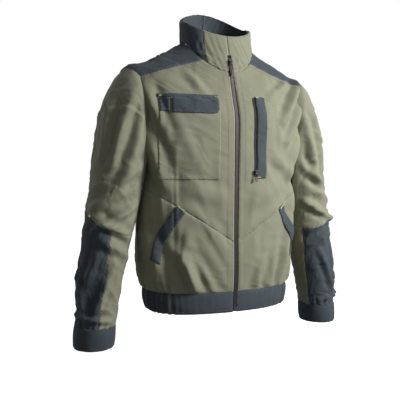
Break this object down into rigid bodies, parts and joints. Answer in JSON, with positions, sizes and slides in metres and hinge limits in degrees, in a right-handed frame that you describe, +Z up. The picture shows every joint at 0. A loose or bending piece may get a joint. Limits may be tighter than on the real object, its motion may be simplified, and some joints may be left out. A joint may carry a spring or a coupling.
{
  "type": "zip-front work jacket",
  "caption": "Zip-front blouson work jacket with stand collar, contrast yoke, elasticated waistband, chest pocket with flap and slanted hand pockets.",
  "frame": {"origin": "middle of the neck at the height where the collar meets the shoulder seams", "axes": "+Z up the body, -Y towards the front, +X towards the wearer's left"},
  "size_m": [0.706, 0.2545, 0.81],
  "materials": {
    "olive_twill": "matte twill",
    "slate_twill": "matte twill",
    "dark_lining": "matte",
    "zip_tape": "matte",
    "zip_metal": "satin",
    "lime_thread": "thread"
  },
  "bodies": {
    "jacket": {"front_panel_right": "olive_twill", "front_panel_left": "olive_twill", "front_skirt_right": "olive_twill", "front_skirt_left": "olive_twill", "yoke_front_right": "slate_twill", "yoke_front_left": "slate_twill", "yoke_back": "slate_twill", "back_panel": "olive_twill", "waistband_front_right": "slate_twill", "waistband_front_left": "slate_twill", "waistband_elastic_right": "slate_twill", "waistband_elastic_left": "slate_twill", "waistband_back": "slate_twill", "collar_front_right": "olive_twill", "collar_front_left": "olive_twill", "collar_back": "slate_twill", "collar_lining": "slate_twill", "upper_sleeve_right": "olive_twill", "upper_sleeve_left": "olive_twill", "forearm_patch_right": "slate_twill", "forearm_patch_left": "slate_twill", "forearm_strip_right": "olive_twill", "forearm_strip_left": "olive_twill", "cuff_right": "slate_twill", "cuff_left": "slate_twill", "elbow_pull_right": "lime_thread", "elbow_pull_left": "lime_thread", "chest_pocket": "olive_twill", "flap_band": "slate_twill", "pen_slot_tab": "slate_twill", "flap_bartack_inner": "lime_thread", "flap_bartack_outer": "lime_thread", "chest_zip_welt": "slate_twill", "chest_zip_coil": "zip_tape", "chest_zip_bartack_top": "lime_thread", "chest_zip_bartack_bottom": "lime_thread", "hand_pocket_welt_right": "slate_twill", "hand_pocket_welt_left": "slate_twill", "hand_pocket_bartack_right": "lime_thread", "hand_pocket_bartack_left": "lime_thread", "hand_pocket_bag_right": "dark_lining", "hand_pocket_bag_left": "dark_lining", "chest_pocket_bag": "dark_lining", "neck_label": "dark_lining", "hanger_loop": "zip_tape", "zip_tape_right": "zip_tape", "zip_tape_left": "zip_tape", "zip_teeth_right": "zip_metal", "zip_teeth_left": "zip_metal", "zip_top_stop_right": "zip_metal", "zip_top_stop_left": "zip_metal", "zip_box": "zip_metal", "zip_guard": "olive_twill"},
    "main_slider": {"main_slider": "zip_metal"},
    "main_puller": {"main_puller": "zip_metal"},
    "chest_slider": {"chest_slider": "zip_metal"},
    "chest_puller": {"chest_puller": "zip_metal"},
    "chest_flap": {"chest_flap": "slate_twill"}
  },
  "joints": [
    {"name": "main_zip_slide", "type": "slide", "parent": "jacket", "child": "main_slider", "axis": [0, -0.2651, -0.9642], "range_m": [0, 0.112]},
    {"name": "main_puller_swing", "type": "hinge", "parent": "main_slider", "child": "main_puller", "pos_m": [0, -0.08532, -0.06632], "axis": [-1, 0, 0], "range_deg": [0, 160]},
    {"name": "chest_zip_slide", "type": "slide", "parent": "jacket", "child": "chest_slider", "axis": [0, -0.011, 0.9999], "range_m": [0, 0.115]},
    {"name": "chest_puller_swing", "type": "hinge", "parent": "chest_slider", "child": "chest_puller", "pos_m": [0.0479, -0.1224, -0.3225], "axis": [-1, 0, 0], "range_deg": [0, 160]},
    {"name": "chest_flap_lift", "type": "hinge", "parent": "jacket", "child": "chest_flap", "pos_m": [-0.097, -0.1085, -0.162], "axis": [-0.991, 0.1337, 0], "range_deg": [0, 110]}
  ]
}
